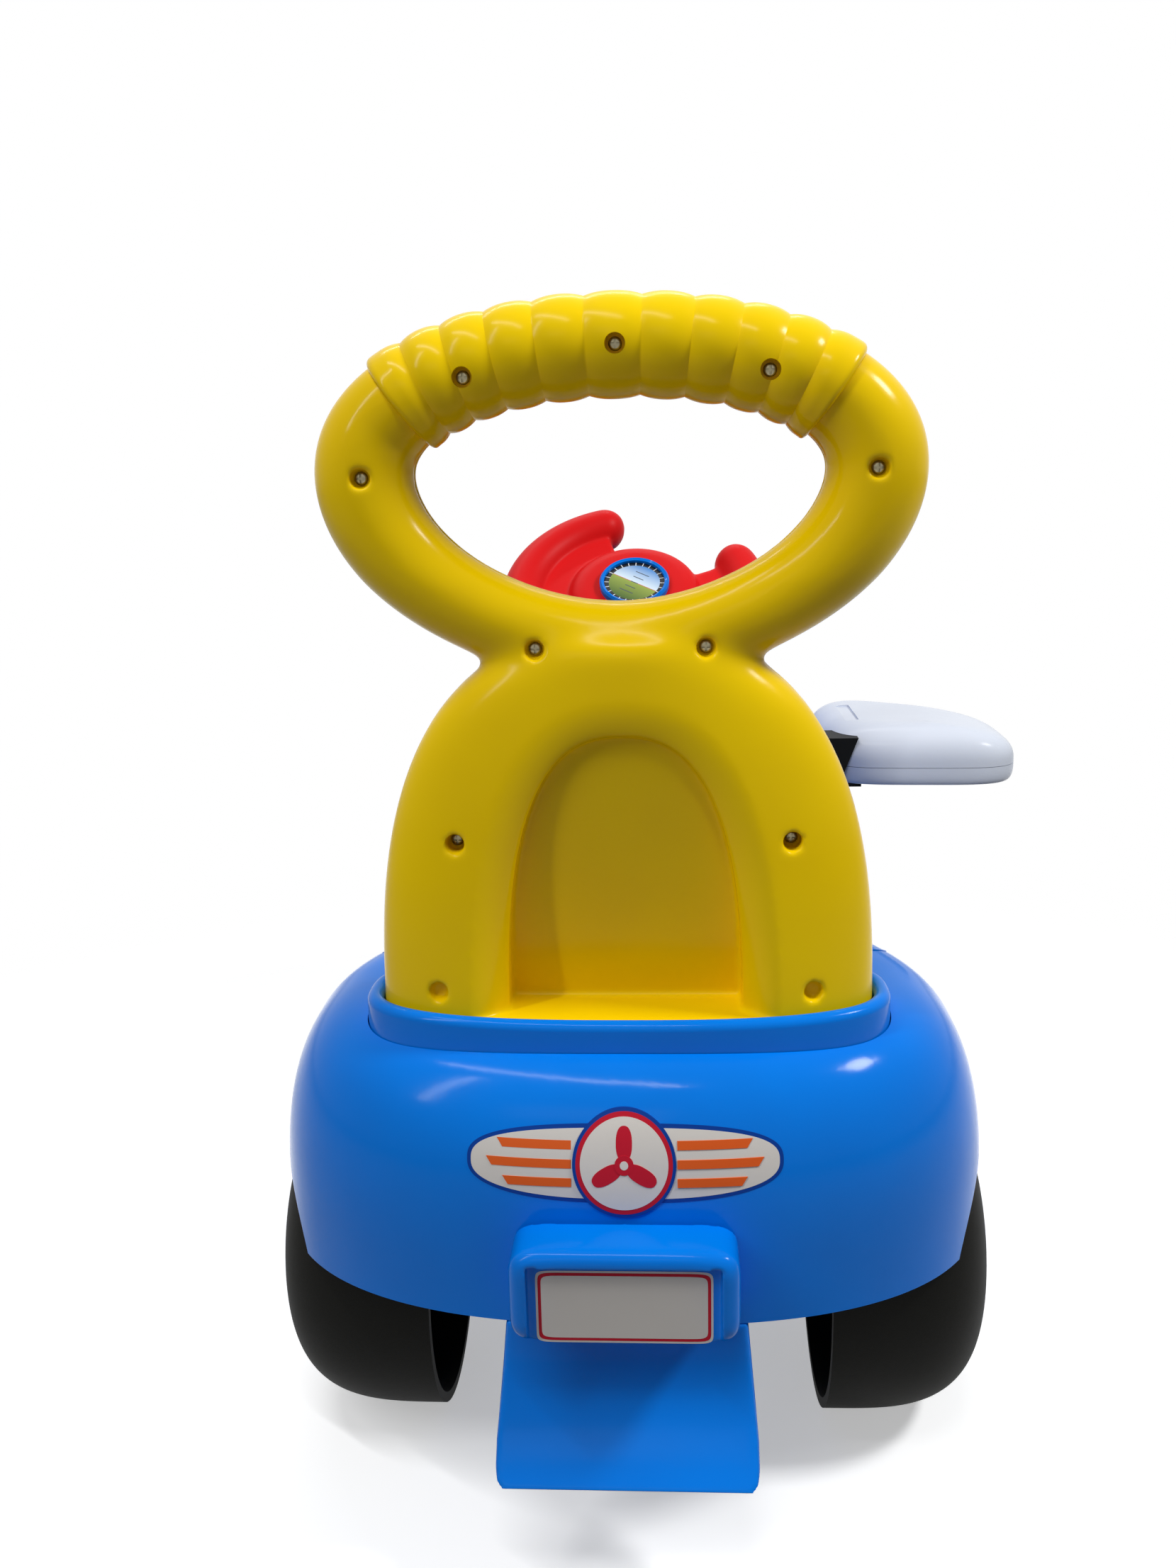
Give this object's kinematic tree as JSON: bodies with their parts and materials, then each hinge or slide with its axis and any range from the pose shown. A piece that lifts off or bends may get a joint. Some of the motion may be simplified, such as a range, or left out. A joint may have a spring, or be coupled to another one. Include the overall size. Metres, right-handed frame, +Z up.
{
  "type": "ride-on aeroplane toy",
  "caption": "Foot-to-floor ride-on aeroplane with a storage seat, a backrest with a ribbed push handle, a turning yoke, folding wings, a propeller and swivelling front wheels.",
  "frame": {"origin": "on the floor below the middle of the rear axle", "axes": "+Y forward towards the propeller, +X to the right as seen from behind, +Z up"},
  "size_m": [0.373, 0.612, 0.4591],
  "materials": {
    "blue_plastic": "moulded, smooth",
    "yellow_plastic": "moulded, smooth",
    "red_plastic": "moulded, smooth",
    "white_plastic": "moulded, smooth",
    "black_plastic": "moulded, fine grain",
    "steel": "zinc plated"
  },
  "bodies": {
    "frame": {"body_shell": "blue_plastic", "floor_pan": "blue_plastic", "storage_bin": "blue_plastic", "seat_leaf_deck": "steel", "seat_hinge_pin": "steel", "cowl": "blue_plastic", "backrest_rear_shell": "yellow_plastic", "backrest_front_shell": "yellow_plastic", "handle_screws": "steel", "backrest_screws": "steel", "deck_collar": "blue_plastic", "plate_block": "blue_plastic", "tail_foot": "blue_plastic", "floor_screws": "steel", "rear_axle": "steel", "axle_nut_left": "steel", "axle_nut_right": "steel", "column_bush": "black_plastic", "nose_bearing": "yellow_plastic", "wing_bracket_left": "blue_plastic", "wing_bracket_right": "blue_plastic", "wing_pin_left": "steel", "wing_pin_right": "steel"},
    "seat": {"seat_lid": "blue_plastic", "seat_leaf_lid": "steel"},
    "wheel_left": {"rear_wheel_left": "black_plastic", "hub_cap_left": "yellow_plastic"},
    "wheel_right": {"rear_wheel_right": "black_plastic", "hub_cap_right": "yellow_plastic"},
    "caster_left": {"caster_fork_left": "black_plastic", "caster_stem_left": "steel", "caster_axle_left": "steel"},
    "caster_right": {"caster_fork_right": "black_plastic", "caster_stem_right": "steel", "caster_axle_right": "steel"},
    "roller_left": {"caster_wheel_left": "black_plastic"},
    "roller_right": {"caster_wheel_right": "black_plastic"},
    "yoke": {"yoke_front": "red_plastic", "yoke_back": "red_plastic", "dial_bezel": "blue_plastic", "dial_face": "white_plastic", "steering_column": "steel", "column_clip": "steel"},
    "airscrew": {"propeller": "yellow_plastic", "spinner": "red_plastic", "propeller_shaft": "steel"},
    "wing_left": {"wing_upper_left": "white_plastic", "wing_lower_left": "white_plastic", "wing_fitting_left": "black_plastic"},
    "wing_right": {"wing_upper_right": "white_plastic", "wing_lower_right": "white_plastic", "wing_fitting_right": "black_plastic"}
  },
  "joints": [
    {"name": "seat_open", "type": "hinge", "parent": "frame", "child": "seat", "pos_m": [0, 0.0115, 0.1964], "axis": [1, 0, 0], "range_deg": [0, 80]},
    {"name": "yoke_turn", "type": "hinge", "parent": "frame", "child": "yoke", "pos_m": [0, 0.212, 0.327], "axis": [0, -0.5878, 0.809], "range_deg": [-21, 69]},
    {"name": "propeller_spin", "type": "hinge", "parent": "frame", "child": "airscrew", "pos_m": [0, 0.45, 0.185], "axis": [0, 1, 0], "continuous": true},
    {"name": "wing_left_fold", "type": "hinge", "parent": "frame", "child": "wing_left", "pos_m": [-0.103, 0.318, 0.211], "axis": [0, 1, 0], "range_deg": [0, 88]},
    {"name": "wing_right_fold", "type": "hinge", "parent": "frame", "child": "wing_right", "pos_m": [0.103, 0.318, 0.211], "axis": [0, 1, 0], "range_deg": [0, 88]},
    {"name": "rear_wheel_left_spin", "type": "hinge", "parent": "frame", "child": "wheel_left", "pos_m": [-0.113, 0, 0.071], "axis": [1, 0, 0], "continuous": true},
    {"name": "caster_left_swivel", "type": "hinge", "parent": "frame", "child": "caster_left", "pos_m": [-0.07, 0.325, 0.09], "axis": [0, 0, 1], "continuous": true},
    {"name": "caster_wheel_left_spin", "type": "hinge", "parent": "caster_left", "child": "roller_left", "pos_m": [-0.07, 0.305, 0.04], "axis": [1, 0, 0], "continuous": true},
    {"name": "rear_wheel_right_spin", "type": "hinge", "parent": "frame", "child": "wheel_right", "pos_m": [0.113, 0, 0.071], "axis": [1, 0, 0], "continuous": true},
    {"name": "caster_right_swivel", "type": "hinge", "parent": "frame", "child": "caster_right", "pos_m": [0.07, 0.325, 0.09], "axis": [0, 0, 1], "continuous": true},
    {"name": "caster_wheel_right_spin", "type": "hinge", "parent": "caster_right", "child": "roller_right", "pos_m": [0.07, 0.305, 0.04], "axis": [1, 0, 0], "continuous": true}
  ]
}
